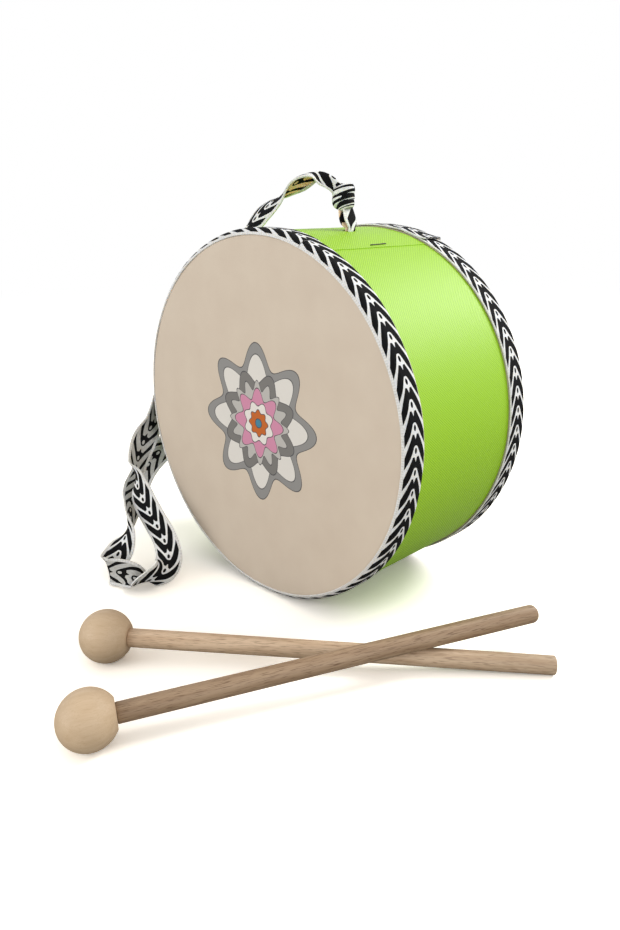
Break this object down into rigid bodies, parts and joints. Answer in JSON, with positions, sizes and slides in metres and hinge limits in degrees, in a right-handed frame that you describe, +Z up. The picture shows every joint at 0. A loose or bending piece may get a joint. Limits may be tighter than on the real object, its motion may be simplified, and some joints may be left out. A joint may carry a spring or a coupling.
{
  "type": "two-headed drum with beaters",
  "caption": "Round shallow two-headed drum with a wrapped shell, chevron ribbon trim and a ribbon neck strap, lying on its side beside a pair of ball-headed wooden beaters.",
  "frame": {"origin": "centre of the front head's outer face", "axes": "-Y out of the front head along the drum's axis, +Z up with the drum lying on its side, +X to the right seen from the front"},
  "size_m": [0.2826, 0.2528, 0.2277],
  "materials": {
    "plywood": "bare birch plywood",
    "leatherette": "lime green leatherette with a fine embossed weave",
    "staple_wire": "flat steel staple wire",
    "head_membrane": "matt beige synthetic drum head",
    "chevron_ribbon": "black and white woven chevron ribbon",
    "beech_stick": "bare turned beech with short flecks",
    "beech_ball": "bare turned pale beech"
  },
  "bodies": {
    "drum": {"shell_hoop": "plywood", "splice_strip": "plywood", "front_hoop": "plywood", "rear_hoop": "plywood", "cover_wrap": "leatherette", "wrap_staple": "staple_wire", "front_head": "head_membrane", "rear_head": "head_membrane", "front_head_staples": "staple_wire", "rear_head_staples": "staple_wire", "front_trim": "chevron_ribbon", "rear_trim": "chevron_ribbon", "strap": "chevron_ribbon", "top_strap_knot": "chevron_ribbon", "top_strap_neck": "chevron_ribbon", "top_stop_knot": "chevron_ribbon", "side_strap_knot": "chevron_ribbon", "side_strap_neck": "chevron_ribbon", "side_stop_knot": "chevron_ribbon"},
    "lower_beater": {"lower_beater_stick": "beech_stick", "lower_beater_ball": "beech_ball"},
    "upper_beater": {"upper_beater_stick": "beech_stick", "upper_beater_ball": "beech_ball"}
  },
  "joints": [
    {"name": "lower_beater_lift", "type": "slide", "parent": "drum", "child": "lower_beater", "axis": [0, 0, 1], "range_m": [0, 0.25]},
    {"name": "upper_beater_lift", "type": "slide", "parent": "lower_beater", "child": "upper_beater", "axis": [0, 0, 1], "range_m": [0, 0.25]}
  ]
}
